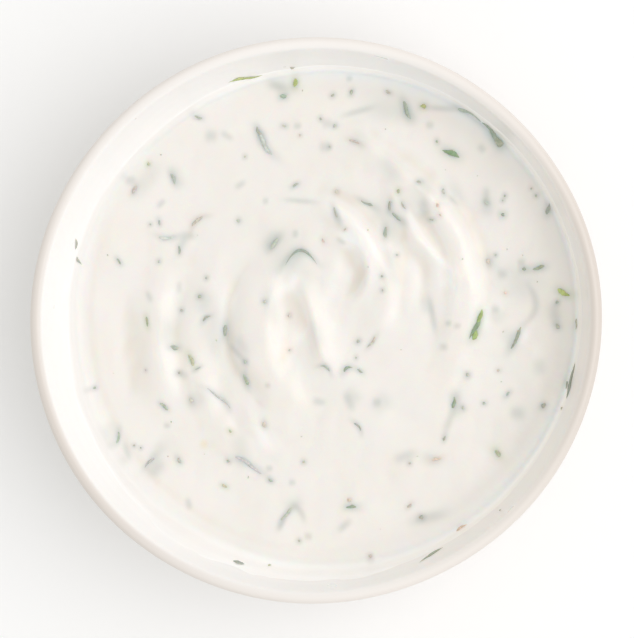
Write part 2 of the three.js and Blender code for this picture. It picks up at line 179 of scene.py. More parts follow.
GREEN_CHIPS = [
    (15.5, 26.5, -100, 1.2, 0.8), (36.3, -29.2, -60, 2.6, 1.1), (41, -43.5, -35, 0.8, 0.6),
    (-21.5, -25, -45, 1.2, 0.6), (-30, -9.6, -67, 4, 1), (-23, -37, -20, 1.6, 0.6),
    (-39.5, -1.5, -75, 3, 0.7), (-39.5, 32.5, 0, 0.8, 0.8), (-12.6, -53.4, 20, 0.8, 0.7),
]
OLIVE_CHIPS = [
    (50.5, 5, -25, 3.9, 1.4), (-18, 51.5, 10, 8.5, 0.8, 0.6), (-19.5, 52.3, 12, 2.8, 1.2),
    (-7.2, 49.7, -95, 2.6, 1.2), (20.5, 44.5, 0, 1.6, 1.2),
]
BROWN_BITS = [
    (4, 18.5, 35, 1, 0.4), (43.5, 27, 0, 0.6, 0.6), (34.5, 11.5, -75, 1.8, 1), (53, -1.5, -95, 3, 0.5),
    (36.5, -11.5, 0, 0.9, 0.7), (9, -51.5, 0, 1, 0.9), (9.5, -5.5, 55, 4, 0.6), (-14, -23.5, -80, 1.8, 1.1),
    (-30, -18.5, -70, 1.8, 0.9), (-40, -12, 0, 0.5, 0.5), (-8.5, 0, 0, 0.9, 0.8), (13, 47.5, -25, 1.9, 0.7),
    (17.5, -40.5, 45, 1.9, 0.7), (6, 37, -22, 3.6, 0.7), (-6, 38.5, 0, 0.6, 0.6),
    (-42.5, 27, -115, 2.9, 0.9), (-27.8, 19.2, 45, 5.5, 0.8, 1.6), (2, 26.5, 0, 1.1, 1.1),
    (-8.5, -7.5, 0, 0.7, 0.6),
]
RED_BITS = [
    (24, 23.5, -55, 1.1, 0.8), (24.5, 21.5, -45, 0.8, 0.5), (38, 5, -35, 1, 0.6),
    (23.2, -30.3, 15, 3, 0.7, -0.3), (28.7, -44.9, 32, 3, 1), (4.5, -39.5, 0, 1.3, 0.9),
    (-1, 16, -60, 1.2, 0.5),
]
# Pieces sunk under a thin layer of the dip: only their colour shows through
SUNK_LEAVES = [
    (-12, 16, 45, 4, 2.3), (-7, 17.5, -90, 1.2, 0.8), (27, 24.5, -45, 2, 0.4), (21, 23, -85, 3.4, 1.9),
    (34, 25.5, -90, 3, 1.1), (37.5, 9, 0, 1.7, 1.7), (41.5, 11.5, 0, 1.2, 1.1), (42.5, 2.5, -95, 8, 1.1, 2),
    (48.5, 1, -85, 4, 1.9), (36, 1.5, 0, 1.2, 1.3), (40.5, -20.5, 0, 2.7, 2.4), (26, -22.5, -110, 4.6, 1.1),
    (16.5, -30, 20, 4.5, 1.7), (21.5, -43, 15, 7.5, 1.9), (3.5, -45, 40, 3, 1.1),
    (4.5, -18.5, -65, 3.5, 1.3), (10.5, -18.5, 0, 1.2, 1.2), (-2, -18.5, -10, 2.2, 1.1),
    (22.5, 0, -80, 7, 0.8), (25, -6.5, 0, 1.4, 1.1), (-20, -8, -45, 4, 0.8), (-35.5, -24, 0, 1, 0.8),
    (-31, -41, -75, 2, 0.9), (-38.2, -33.4, 50, 4.2, 2.8), (-44.6, -29.8, -72, 3.6, 1),
    (-39, 4, -60, 2, 0.8), (-32.2, -12.8, -25, 2.6, 1.4), (-32.5, 6, -90, 2, 0.7), (-13, -15, 0, 0.8, 0.7),
    (-11, 49, -20, 4, 1.3), (4.5, 50.5, 0, 0.8, 0.7), (0, 41, 0, 1.6, 1.6), (-0.5, 36, 0, 1.9, 1.8),
    (6.5, 43.5, 15, 6.5, 0.8), (24.5, 44, -5, 6.5, 0.8), (33, 35.5, -45, 1.4, 1.1), (22, 40.5, 0, 1.2, 1.1),
    (-6.5, 40.5, 0, 1.2, 0.9), (-25.5, 38.5, 0, 2.3, 2.1), (-22, 38.5, -30, 2.5, 0.8),
    (-43.5, 29, 0, 1.7, 1.5), (-36.5, 24, 50, 1.7, 0.8), (-52, 21.5, 30, 2, 0.8), (-57, 12, -15, 4.5, 1),
    (-19, 28, 30, 2, 0.8), (-13.5, 24.5, 0, 0.8, 0.8), (-6, 24.5, -5, 6.5, 0.6), (3, 16, -30, 1.7, 0.6),
    (-8, -36, 0, 1, 0.8), (-13, -33, 0, 1, 0.8), (-6.5, -42.5, -55, 4, 0.9, 0.4), (-4.5, -47.5, 0, 1.2, 1.1),
    (-15.5, -53, -60, 2, 0.8), (-27, -55, 30, 1.4, 1.3), (26, -1.5, 0, 1, 0.8), (28, -2, 0, 1, 0.8),
    (2.5, 20.5, -60, 3, 1.4), (-30.5, 16, 40, 3, 1.6, 1), (-14.2, 38, 100, 3, 1.6),
    (-10.3, -45, 62, 2.5, 0.8),
]
# Where many fine shreds lie deep in the dip, which clouds it grey-green
CLOUDS = [
    (-9.8, 13.4, 97, 9, 6.5), (13.3, 43.6, -4, 8, 3), (40.4, 7.3, -30, 7.5, 5), (-39.8, 29.1, 55, 7.5, 2),
    (12.3, 20.2, -59, 8, 2), (-24.4, -2.9, 93, 9.5, 4.5), (13.8, 31.4, -50, 4.5, 1.6),
    (-19.1, -29, 101, 6, 2), (13.6, 10, 92, 6, 1.6), (27.9, 25.9, -62, 5, 1), (-28.9, -18.4, 40, 3, 2),
    (39.3, -5, -58, 3, 1.4), (35.1, 11.3, 100, 2.5, 1.5), (11.3, -18.7, 40, 2.4, 1.5),
    (7.4, 37.4, -59, 2.4, 1), (16.9, 20, 49, 2, 1.2), (20.9, 27.3, -38, 2, 1), (22.1, -30.5, -12, 2.6, 0.8),
    (36.7, 0.1, 45, 1.5, 1), (-7.7, -40.7, 25, 2, 1), (45.2, -10.7, 90, 1.6, 1), (-12.1, 1.7, 105, 6, 1),
    (-2.1, -4.1, 105, 4.5, 0.8), (-8.1, 11.8, 40, 5, 1.2), (-35.1, -3.7, 92, 4, 1.2), (-27, 3, 74, 3, 1.2),
    (34.3, 23.3, 90, 2, 0.8), (-33.1, 29.6, 116, 3, 0.6), (27.9, -18.6, 96, 4, 0.5), (21, 2.3, 97, 1.8, 0.6),
    (17.5, 42.5, -60, 2, 0.8), (-9.5, 49, -8, 5, 1.2), (-18.6, -6.6, 124, 2.4, 0.8),
    (5.4, -17.2, 142, 2, 0.9), (-37.6, -29.6, 55, 2.2, 0.7), (-48, -25.6, 100, 2.4, 0.7),
]
# The same, but fainter
WISPS = [
    (-18.5, -12.5, -45, 8, 2.5), (-32.5, -2.5, 100, 8, 4.5, 0.6), (-29, 4, 25, 4, 2), (21, 23.5, -60, 6, 3),
    (33.5, 23.5, 100, 5, 2.5), (48.5, 1.5, 100, 7.5, 3), (-34.5, -29, -55, 4.5, 2),
    (-22, -4, 105, 8, 2, -0.6),
]
# Painted shade on the flanks turned from the light, warm as the light that comes through the dip is, and
# painted light in the hollows that it fills
PAINTED_SHADE_FLANKS = [
    (-40.3, -11, -82, 16, 2.4, -0.5), (-15.9, -14.3, 124, 10, 1.6), (-28.2, 19.2, 47, 5, 0.9, 1),
]
PAINTED_LIGHT_HOLLOWS = [
    (5.5, 15.7, -55, 19, 2.2, 2), (24.9, 10.4, -71, 14, 2.4), (-22.4, 0.9, 79, 10, 1.2),
    (-7, -5, 61, 6.5, 1), (-14.5, -26.5, -65, 4.5, 0.8), (5.7, 14.4, -60, 10, 1.4),
    (26.2, 8.2, 90, 2.5, 0.8), (41.5, -4.3, -120, 3, 0.8), (33.6, 0.2, 95, 4, 0.6),
    (-7.9, 6.8, 54, 3.5, 0.7),
]
OIL_SPOTS = [(-27.5, -28, 0, 1.2, 1.2)]
SPECK_COUNT = 26
SPECK_SEED = 7
SPECK_REACH = 51  # specks lie within this radius
SPECK_SIZES = (0.2, 0.42)

# ---------------------------------------------------------------- colours

GLAZE_INSIDE = (0.97, 0.96, 0.955)
GLAZE_INSIDE_DEEP = (0.955, 0.945, 0.935)
GLAZE_SHADE_WARM = (0.965, 0.93, 0.885)
GLAZE_OUTSIDE = (0.83, 0.77, 0.72)
GLAZE_OUTSIDE_PALE = (0.86, 0.80, 0.755)
GLAZE_LIP = (0.62, 0.56, 0.505)
BARE_CLAY = (0.62, 0.52, 0.43)
CREAM = (0.846, 0.822, 0.792)
CREAM_WARM = (0.840, 0.810, 0.768)
WHEY = (0.832, 0.828, 0.80)
CREASE_SHADE = (0.955, 0.925, 0.88)  # painted shade: factors that darken and warm the dip deep in a crease
COOL_LIGHT = (-0.2, 0.4, 1.0)  # what the cool light along the wall adds to each channel
TABLE = (0.93, 0.935, 0.94)
TABLE_PALE = (0.94, 0.94, 0.94)

# What pieces lend to the dip round them, with painted shade on flanks and painted light in hollows: the
# pieces, a factor for each channel, its strength, and how far it spreads past a piece's outline
STAINS_AND_SHADING = [
    (CLOUDS, (0.45, 0.53, 0.50), 0.20, 1.0),
    (WISPS, (0.45, 0.53, 0.50), 0.09, 1.0),
    # painted shade on flanks turned from the light, and painted light in hollows
    (PAINTED_SHADE_FLANKS, (0.74, 0.66, 0.50), 0.12, 0.8),
    (PAINTED_LIGHT_HOLLOWS, (1.45, 1.50, 1.60), 0.20, 0.9),
    (OIL_SPOTS, (0.98, 0.88, 0.60), 0.40, 0.3),
    (PALE_STEMS, (0.50, 0.56, 0.58), 0.26, 0.5),
    (SUNK_LEAVES, (0.50, 0.56, 0.55), 0.36, 0.25),
    (DARK_LEAVES + DEEP_LEAVES, (0.50, 0.60, 0.56), 0.38, 0.6),
    (LEAVES, (0.50, 0.56, 0.54), 0.36, 0.4),
    (GREEN_CHIPS + VIVID_CHIPS + OLIVE_CHIPS, (0.60, 0.68, 0.42), 0.34, 0.45),
    (BROWN_BITS, (0.66, 0.62, 0.56), 0.34, 0.35),
    (RED_BITS, (0.92, 0.74, 0.60), 0.28, 0.5),
]

# Kinds of piece: the pieces, their colour on top, their colour at the ends and sides, where the dip wets
# them and where painted light lifts the shade along their sides, sides and rings of the mesh, and how high
# they lie, as a share of their width
DILL_KINDS = [
    (DARK_LEAVES, (0.39, 0.44, 0.37), (0.62, 0.66, 0.59), 10, 15, 0.06),
    (DEEP_LEAVES, (0.26, 0.34, 0.23), (0.48, 0.55, 0.42), 10, 15, 0.10),
    (LEAVES, (0.48, 0.51, 0.45), (0.73, 0.73, 0.68), 8, 11, 0.02),
    (PALE_STEMS, (0.66, 0.65, 0.64), (0.79, 0.79, 0.77), 8, 11, 0.04),
    (GREEN_CHIPS, (0.48, 0.51, 0.37), (0.69, 0.70, 0.56), 8, 11, 0.05),
    (VIVID_CHIPS, (0.38, 0.48, 0.21), (0.53, 0.63, 0.33), 8, 11, 0.14),
    (OLIVE_CHIPS, (0.50, 0.55, 0.24), (0.66, 0.69, 0.42), 8, 11, 0.08),
]
SPICE_KINDS = [
    (BROWN_BITS, (0.62, 0.57, 0.50), (0.79, 0.74, 0.67), 8, 9, 0.02),
    (RED_BITS, (0.78, 0.61, 0.51), (0.86, 0.77, 0.70), 8, 9, 0.06),
]
SPECK_LOOK = ((0.56, 0.56, 0.50), (0.7, 0.7, 0.64), 6, 5, 0.02)

# ---------------------------------------------------------------- shapes


def smoothstep(value, low, high):
    """Rises smoothly from 0 at low to 1 at high."""
    t = np.clip((value - low) / (high - low), 0, 1)
    return t * t * (3 - 2 * t)


oval_turn = math.radians(OVAL_AZIMUTH)


def to_oval(r, angle):
    """Place of a point of the round plan once the bowl is made slightly oval."""
    along = r * np.cos(angle - oval_turn) * OVAL
    across = r * np.sin(angle - oval_turn) / OVAL
    return (
        along * math.cos(oval_turn) - across * math.sin(oval_turn),
        along * math.sin(oval_turn) + across * math.cos(oval_turn),
    )


def to_round(x, y):
    """Radius and direction in the round plan of a place in the oval bowl."""
    along = (x * math.cos(oval_turn) + y * math.sin(oval_turn)) / OVAL
    across = (y * math.cos(oval_turn) - x * math.sin(oval_turn)) * OVAL
    return np.hypot(along, across), np.arctan2(across, along) + oval_turn


def stand_on(r, angle, z):
    """Points of the oval bowl from radius, direction and height in the round plan."""
    x, y = to_oval(r, angle)
    return np.stack([np.ravel(x), np.ravel(y), np.ravel(z)], axis=1)


def spline(points, steps):
    """Even steps along a smooth curve through the points, which keeps to the rows' own spacing."""
    points = np.array(points, float)
    last = len(points) - 1
    place = np.linspace(0, last, steps + 1)
    index = np.minimum(place.astype(int), last - 1)
    t = (place - index)[:, None]
    before = points[np.maximum(index - 1, 0)]
    start = points[index]
    end = points[index + 1]
    after = points[np.minimum(index + 2, last)]
    leave = (end - before) / 2
    arrive = (after - start) / 2
    return (
        (2 * start - 2 * end + leave + arrive) * t**3
        + (-3 * start + 3 * end - 2 * leave - arrive) * t**2
        + leave * t
        + start
    )


def waves(x, y, length, count, seed):
    """Soft, even unevenness between about -1 and 1, with humps about one length across."""
    random = np.random.default_rng(seed)
    angle = random.uniform(0, 2 * math.pi, count)
    size = 2 * math.pi / (length * random.uniform(1.3, 2.6, count))
    phase = random.uniform(0, 2 * math.pi, count)
    total = np.zeros_like(x)
    for a, k, p in zip(angle, size, phase):
        total += np.sin(k * (x * math.cos(a) + y * math.sin(a)) + p)
    return total / math.sqrt(count)


def centred(rows):
    """The rows with their places counted from the bowl's axis."""
    return [(row[0] + SWIRL_CENTRE[0], row[1] + SWIRL_CENTRE[1], *row[2:]) for row in rows]


def centred_pieces(rows):
    """The same for rows of pieces, which all get a bow."""
    return centred([(*row, 0) if len(row) == 5 else row for row in rows])


fold_lines = [
    (left, right, power, spline(centred(crest), FOLD_STEPS)) for left, right, power, crest in FOLDS
]


def fold_height(x, y, left, right, power, line):
    """Height that one fold adds: its crest's, which falls off over the slope's width on each side."""
    margin = 3.5 * max(left, right)
    low, high = line[:, :2].min(axis=0) - margin, line[:, :2].max(axis=0) + margin
    total = np.zeros(np.shape(x))
    close = (x > low[0]) & (x < high[0]) & (y > low[1]) & (y < high[1])
    start, end = line[:-1], line[1:]
    dx, dy = (end - start)[:, 0:1], (end - start)[:, 1:2]
    from_x = x[close] - start[:, 0:1]
    from_y = y[close] - start[:, 1:2]
    t = np.clip((from_x * dx + from_y * dy) / (dx * dx + dy * dy), 0, 1)
    off_x, off_y = from_x - dx * t, from_y - dy * t
    distance = np.hypot(off_x, off_y)
    if distance.size:
        reach = np.where(dx * off_y - dy * off_x > 0, left, right)
        crest = start[:, 2:3] + (end - start)[:, 2:3] * t
        near = np.exp((distance.min(axis=0) - distance) / FOLD_BLEND)
        rounded = np.hypot(distance, CREST_ROUND) - CREST_ROUND
        height = crest * np.exp(-((rounded / reach) ** power))
        total[close] = (height * near).sum(axis=0) / near.sum(axis=0)
    return total


# Inside of the wall, from the floor's edge up to the lip, as the solid has it
LIP_RADIUS = LIP_THICKNESS / 2
lean = math.radians(WALL_LEAN)
lip_base = np.array([
    RIM_DIAMETER / 2 - LIP_RADIUS - LIP_RADIUS * math.cos(lean),
    BOWL_HEIGHT - LIP_RADIUS + LIP_RADIUS * math.sin(lean),
])
wall_ends = [
    np.array([FLOOR_RADIUS, FLOOR_HEIGHT]),
    np.array([lip_base[0] - WALL_BULGE, FLOOR_HEIGHT]),
    lip_base - STRAIGHT_WALL * np.array([math.sin(lean), math.cos(lean)]),
    lip_base,
]


def wall_point(t, inwards=0):
    """Radius and height of the wall's inside at t, moved inwards: two columns."""
    t = np.atleast_1d(np.asarray(t, float))[:, None]
    a, b, c, d = wall_ends
    point = (1 - t) ** 3 * a + 3 * (1 - t) ** 2 * t * b + 3 * (1 - t) * t * t * c + t**3 * d
    tangent = (1 - t) ** 2 * (b - a) + 2 * (1 - t) * t * (c - b) + t * t * (d - c)
    tangent /= np.linalg.norm(tangent, axis=1, keepdims=True)
    normal = np.stack([-tangent[:, 1], tangent[:, 0]], axis=1)
    return point + normal * np.reshape(inwards, (-1, 1))


wall_t = np.linspace(0, 1, 600)
wall_line = wall_point(wall_t)
wall_length = np.concatenate([[0], np.cumsum(np.hypot(*np.diff(wall_line, axis=0).T))])


def wall_t_at_height(height):
    return np.interp(height, wall_line[:, 1], wall_t)


# Where the dip meets the wall: its height over the dip's level by direction in degrees, and how far
# a thin film of it is smeared up the wall
EDGE_HEIGHTS = [
    (0, -0.8), (35, -0.5), (65, -1.2), (100, -1.2), (125, -1.2), (155, -0.2), (185, 0),
    (215, 0), (240, 0), (270, 0.9), (295, 1.2), (320, -0.8), (340, -0.8), (360, -0.8),
]
FILM_HEIGHTS = [
    (0, 1), (60, 1), (120, 1.2), (170, 1.5), (200, 2.2), (222, 5), (240, 7.5), (256, 8.5),
    (272, 5.5), (290, 4), (305, 2), (330, 1.2), (360, 1),
]
# How far the open surface curves up towards the wall on the side where the dip is smeared up it
BANK_HEIGHTS = [
    (0, 0), (120, 0), (150, 0.8), (180, 1.4), (220, 1.5), (250, 1.1), (280, 0.5), (310, 0), (360, 0),
]
BANK_WIDTH = 4.5
FILLET = 1.3
FILLET_LENGTH = 2.1  # along the curve that joins the open surface to the wall
FILM_THICKNESS = 0.08
CORNER_LIFT = 0.1  # the bend of that curve stays this far off the wall
WALL_STRETCH = 1.2  # a row's place past the dip's edge counts this much longer up the wall
WALL_LIFT = 0.16  # pieces that stick to the wall lie this far off the film

DIRECTION_BLUR = 9  # degrees over which a table by direction is smoothed
# Unevenness round the bowl: rows of (size, humps in a full turn, phase)
EDGE_RIPPLE = [(0.18, 7, 1), (0.12, 13, 0)]
FILM_RIPPLE = [(0.16, 9, 2), (0.10, 17, 0), (0.06, 31, 1)]
RIM_RIPPLE = [(0.08, 2, 2.2), (0.05, 5, 0)]
WALL_RIPPLE = [(0.14, 2, 0.7), (0.08, 3, 2), (0.04, 7, 0)]
RIM_SAG = 0.10
FINGER_RING = 0.035
RING_SPACING = 3.4


def by_direction(rows, angle):
    """Value at each angle from a table of (direction in degrees, value), a little smoothed."""
    degrees = np.degrees(angle)
    shifts = (-DIRECTION_BLUR, 0, 0, DIRECTION_BLUR)
    return sum(np.interp(degrees + shift, *zip(*rows), period=360) for shift in shifts) / len(shifts)


def ripple(rows, angle):
    return sum(size * np.sin(humps * angle + phase) for size, humps, phase in rows)


def edge_height(angle):
    return by_direction(EDGE_HEIGHTS, angle) + ripple(EDGE_RIPPLE, angle)


def bank_height(angle):
    return by_direction(BANK_HEIGHTS, angle)


def film_height(angle):
    return by_direction(FILM_HEIGHTS, angle) * (1 + ripple(FILM_RIPPLE, angle))


def droop(angle, z):
    """How far the rim hangs under its even height."""
    return smoothstep(z, 30, BOWL_HEIGHT) * (RIM_SAG + ripple(RIM_RIPPLE, angle))


def wander(angle, z):
    """How far the hand-thrown wall strays from round, with faint rings from the fingers."""
    slow = smoothstep(z, 6, BOWL_HEIGHT) * ripple(WALL_RIPPLE, angle)
    rings = FINGER_RING * np.sin(z * 2 * math.pi / RING_SPACING + 1.5 * np.sin(angle))
    return slow + rings * smoothstep(z, 8, 14) * smoothstep(z, 40, 36)


level_radius = float(np.interp(DIP_LEVEL, wall_line[:, 1], wall_line[:, 0]))
surface_radius = level_radius - FILLET

# Soft unevenness of the open surface: (height, length of a hump, waves, seed)
UNEVENNESS = [(0.10, 7, 26, 3), (0.04, 2.6, 30, 4)]
BUMP_HEIGHT = 0.10  # over a sunk piece


def surface_height(x, y):
    """Height of the dip's open surface."""
    radius, angle = to_round(x, y)
    from_wall = level_radius - radius
    fade = smoothstep(from_wall, 0, EDGE_BAND)
    folds = sum(fold_height(x, y, *fold) for fold in fold_lines)
    for height, length, count, seed in UNEVENNESS:
        folds = folds + height * waves(x, y, length, count, seed)
    bumps = np.zeros_like(x)
    for bx, by, _, length, width, _ in centred_pieces(SUNK_LEAVES):
        reach = 0.4 * max(length, width) + 0.5
        bumps += BUMP_HEIGHT * np.exp(-((x - bx) ** 2 + (y - by) ** 2) / reach**2)
    edge = edge_height(angle) * (1 - smoothstep(from_wall, 0, 2.5 * EDGE_BAND))
    bank = bank_height(angle) * np.clip(1 - from_wall / BANK_WIDTH, 0, 1) ** 2
    return DIP_LEVEL + (CROWN + folds + bumps) * fade + edge + bank


def edge_line(along, angle, level, film):
    """Radius and height at the dip's edge: along from the open surface at level and on up the wall."""
    slope = bank_height(angle) * 2 * (1 - FILLET / BANK_WIDTH) / BANK_WIDTH
    level_t = wall_t_at_height(level + slope * FILLET)
    start = np.interp(level_t, wall_t, wall_length)
    corner = wall_point(level_t, CORNER_LIFT)
    top = wall_point(np.interp(start + FILLET, wall_length, wall_t), film)
    u = np.clip(along / FILLET_LENGTH, 0, 1)[:, None]
    flat = np.stack([np.full_like(level, surface_radius), level], axis=1)
    curve = (1 - u) ** 2 * flat + 2 * (1 - u) * u * corner + u**2 * top
    beyond = np.maximum(along - FILLET_LENGTH, 0)
    wall = wall_point(np.interp(start + FILLET + beyond, wall_length, wall_t), film)
    line = np.where(u < 1, curve, wall)
    line[:, 0] += wander(angle, line[:, 1]) * smoothstep(along, 0, FILLET_LENGTH)
    line[:, 1] -= droop(angle, line[:, 1]) * smoothstep(along, 0, FILLET_LENGTH)
    return line


def drape(x, y, off=0.0):
    """Places flat points on the dip, or on up the wall when they are past its edge."""
    radius, angle = to_round(x, y)
    inner = np.minimum(radius, surface_radius)
    along = WALL_STRETCH * np.maximum(radius - surface_radius, 0)
    level = surface_height(*to_oval(inner, angle))
    film = FILM_THICKNESS * (along < FILLET_LENGTH + film_height(angle))
    line = edge_line(along, angle, level, film)
    on_wall = smoothstep(along, 0, FILLET_LENGTH)
    r = np.where(along > 0, line[:, 0], inner) - (0.97 * off + WALL_LIFT) * on_wall
    z = np.where(along > 0, line[:, 1], level) + off * (1 - 0.8 * on_wall)
    return stand_on(r, angle, z)


# ---------------------------------------------------------------- meshes


def tube(numbers):
    """Faces between rings of vertices, given by their numbers: one row for each ring."""
    after = np.roll(numbers, -1, axis=1)
    faces = np.stack([numbers[:-1], after[:-1], after[1:], numbers[1:]], axis=-1)
    return faces.reshape(-1, 4).tolist()


def fan(ring, centre):
    """Faces from a ring of vertices to the one in its middle."""
    return np.stack([ring, np.roll(ring, -1), np.full(len(ring), centre)], axis=1).tolist()


def make_object(name, vertices, faces):
    mesh = bpy.data.meshes.new(name)
    mesh.from_pydata((np.asarray(vertices) * MM).tolist(), [], faces)
    mesh.validate()
    mesh.update()
    mesh.polygons.foreach_set("use_smooth", [True] * len(mesh.polygons))
    piece = bpy.data.objects.new(name, mesh)
    bpy.context.scene.collection.objects.link(piece)
    return piece


def paint(piece, name, colours):
    """A colour for every vertex, which the piece's material reads by this name."""
    layer = piece.data.color_attributes.new(name, "FLOAT_COLOR", "POINT")
    rgba = np.ones((len(piece.data.vertices), 4))
    rgba[:, :3] = colours
    layer.data.foreach_set("color", rgba.ravel())


def amount(piece, name, values):
    """The same for a single value."""
    layer = piece.data.attributes.new(name, "FLOAT", "POINT")
    layer.data.foreach_set("value", np.asarray(values, float))


BOWL_SEGMENTS = 288
LIP_SHADE_RUN = 0.15  # painted shade: strength of the tan that runs down the inside, on the side turned from the light
LIP_SHADE_LIFT = 0.65  # painted light: share of the outside's tan that is lost on the side turned away from the light, to lighten its shade
# How tan the glaze breaks on the lip, by direction in degrees, with painted shade that makes it tanner on
# the left and right, where one of the lip's sides is turned from the light
LIP_TAN_AND_SHADE = [
    (0, 0.88), (20, 0.84), (40, 0.52), (60, 0.24), (80, 0.12), (100, 0.10), (120, 0.22), (140, 0.36),
    (160, 0.66), (180, 0.95), (200, 1.08), (220, 1.02), (240, 0.62), (260, 0.33), (280, 0.22),
    (300, 0.34), (315, 0.48), (330, 0.65), (345, 0.84), (360, 0.88),
]
WALL_STEPS = 46
LIP_STEPS = 16


def bowl_profile():
    """Radius, height, glaze tone (0 inside, 1 outside, 2 bare foot), how tan the lip is, and how far
    its tan runs down the inside as painted shade."""
    foot_inner = FOOT_OUTER_RADIUS - FOOT_WIDTH
    foot = [(r, FOOT_RECESS, 1) for r in np.linspace(0, foot_inner - 1, 14)]
    foot += [
        (foot_inner - 0.5, FOOT_RECESS - 0.25, 1), (foot_inner - 0.2, FOOT_RECESS - 0.8, 1.5),
        (foot_inner, 0.35, 2), (foot_inner + 0.4, 0.08, 2), (foot_inner + 1, 0, 2),
        (FOOT_OUTER_RADIUS - 1, 0, 2), (FOOT_OUTER_RADIUS - 0.4, 0.06, 2),
        (FOOT_OUTER_RADIUS - 0.05, 0.3, 2), (FOOT_OUTER_RADIUS + 0.25, 0.75, 1.6),
    ]
    rows = [(r, z, tone, 0, 0) for r, z, tone in foot]
    for t in np.linspace(0, 1, WALL_STEPS + 1):
        r, z = wall_point(t, -(WALL_THICKNESS + (LIP_THICKNESS - WALL_THICKNESS) * t))[0]
        if r > FOOT_OUTER_RADIUS + 1:
            rows.append((r, z, 1, float(smoothstep(z, BOWL_HEIGHT - 6, BOWL_HEIGHT - 2)), 0))
    outer = wall_point(1, -LIP_THICKNESS)[0]
    inner = wall_point(1, 0)[0]
    centre = (outer + inner) / 2
    start = math.atan2(outer[1] - centre[1], outer[0] - centre[0])
    for i in range(1, LIP_STEPS):
        angle = start + math.pi * i / LIP_STEPS
        r, z = centre + LIP_RADIUS * np.array([math.cos(angle), math.sin(angle)])
        over = i / LIP_STEPS
        inside = float(smoothstep(over, 0.8, 1))
        rows.append((r, z, 1 - over, 1 - float(smoothstep(over, 0.62, 1)), inside))
    for t in np.linspace(1, 0, WALL_STEPS + 1):
        r, z = wall_point(t, 0)[0]
        rows.append((r, z, 0, 0, float(smoothstep(z, BOWL_HEIGHT - 9, BOWL_HEIGHT - 1.5))))
    rows += [(r, FLOOR_HEIGHT, 0, 0, 0) for r in np.linspace(FLOOR_RADIUS - 2, 0, 10)]
    return np.array(rows)


def make_bowl():
    profile = bowl_profile()[1:-1]
    angle = np.linspace(0, 2 * math.pi, BOWL_SEGMENTS, endpoint=False)
    r = np.repeat(profile[:, :1], BOWL_SEGMENTS, axis=1)
    z = np.repeat(profile[:, 1:2], BOWL_SEGMENTS, axis=1)
    r, z = r + wander(angle, z), z - droop(angle, z)
    vertices = stand_on(r, angle, z)
    numbers = np.arange(len(vertices)).reshape(-1, BOWL_SEGMENTS)
    bottom, top = len(vertices), len(vertices) + 1
    vertices = np.vstack([vertices, [0, 0, FOOT_RECESS], [0, 0, FLOOR_HEIGHT]])
    faces = tube(numbers) + fan(numbers[0, ::-1], bottom) + fan(numbers[-1], top)
    bowl = make_object("bowl_glazed", vertices, faces)
    tone = np.append(np.repeat(profile[:, 2], BOWL_SEGMENTS), [1, 0])
    facing = np.cos(angle - oval_turn)
    # painted light: the outer tan is lessened where the lip is turned from the light
    shade_lift = 1 - LIP_SHADE_LIFT * np.clip(profile[:, 2:3], 0, 1) * np.clip(-facing, 0, 1)
    # the lip's tan, with painted shade by direction
    lip = profile[:, 3:4] * shade_lift * by_direction(LIP_TAN_AND_SHADE, angle)
    # painted shade: tan runs down the inside where it is turned from the light
    lip = np.append(lip + profile[:, 4:5] * LIP_SHADE_RUN * np.clip(facing, 0, 1) ** 2, [0, 0])
    # painted shade: the inside wall over the dip is warmed where it is turned from the light
    warm = (1 - np.clip(profile[:, 2:3], 0, 1)) * smoothstep(profile[:, 1:2], 24, 30)
    warm = warm * by_direction(WALL_SHADE_WARMTH, angle)
    amount(bowl, "tone", tone)
    amount(bowl, "lip", lip)
    amount(bowl, "warm", np.append(warm, [0, 0]))
    return bowl


DIP_CELLS = 280
EDGE_RINGS = 14
FILLET_SHARE = 0.45  # of the edge rings
UNDER_RINGS = 7
SUNK = 1.0  # the hidden side lies this far inside the wall, so that no gap shows
CREASE_REACH = 5  # cells
EDGE_PAINTED_LIGHT = 0.10  # painted light: the dip is this much paler where it climbs the wall, but not where the wall faces the light
GLOW_REACH = 4.5
# Thicker line along the dip's edge: its height, width and place past the curve on to the wall
BEAD = 0.15
BEAD_WIDTH = 0.4
BEAD_PLACE = 0.15
FILM_TUCK = 0.10  # the film's end dips this far into the wall
# By direction: how thick that line is, how much light the wall lends to the dip along it, how cool
# that light is, and how warm the painted shade is on the wall where it is turned from the light
BEAD_LINE = [(0, 0.3), (25, 1), (45, 0.4), (60, 0.1), (90, 0), (330, 0), (360, 0.3)]
EDGE_GLOW = [
    (0, 0.07), (20, 0.07), (45, 0.04), (65, 0.05), (90, 0.06), (115, 0.02), (140, 0), (160, -0.03),
    (180, -0.05), (200, -0.05), (215, -0.02), (230, 0), (280, 0.02), (300, 0.10), (315, 0.15),
    (330, 0.20), (345, 0.12), (360, 0.07),
]
EDGE_COOL = [(0, 0), (30, 0), (60, 0.08), (90, 0.06), (110, 0.02), (130, 0), (360, 0)]
WALL_SHADE_WARMTH = [(0, 1), (20, 1), (45, 0.5), (65, 0), (275, 0), (300, 0.8), (320, 1), (360, 1)]


def square_to_disc(cells):
    """Grid points of a square carried to a round disc, so that the cells stay about even."""
    line = np.linspace(-1, 1, cells + 1)
    u, v = np.meshgrid(line, line, indexing="xy")
    ring = np.maximum(np.abs(u), np.abs(v))
    wide = np.abs(u) >= np.abs(v)
    safe_u = np.where(u == 0, 1, u)
    safe_v = np.where(v == 0, 1, v)
    angle = np.where(wide, math.pi / 4 * v / safe_u, math.pi / 2 - math.pi / 4 * u / safe_v)
    angle = angle + np.where(np.where(wide, u, v) < 0, math.pi, 0)
    return ring.ravel(), angle.ravel()


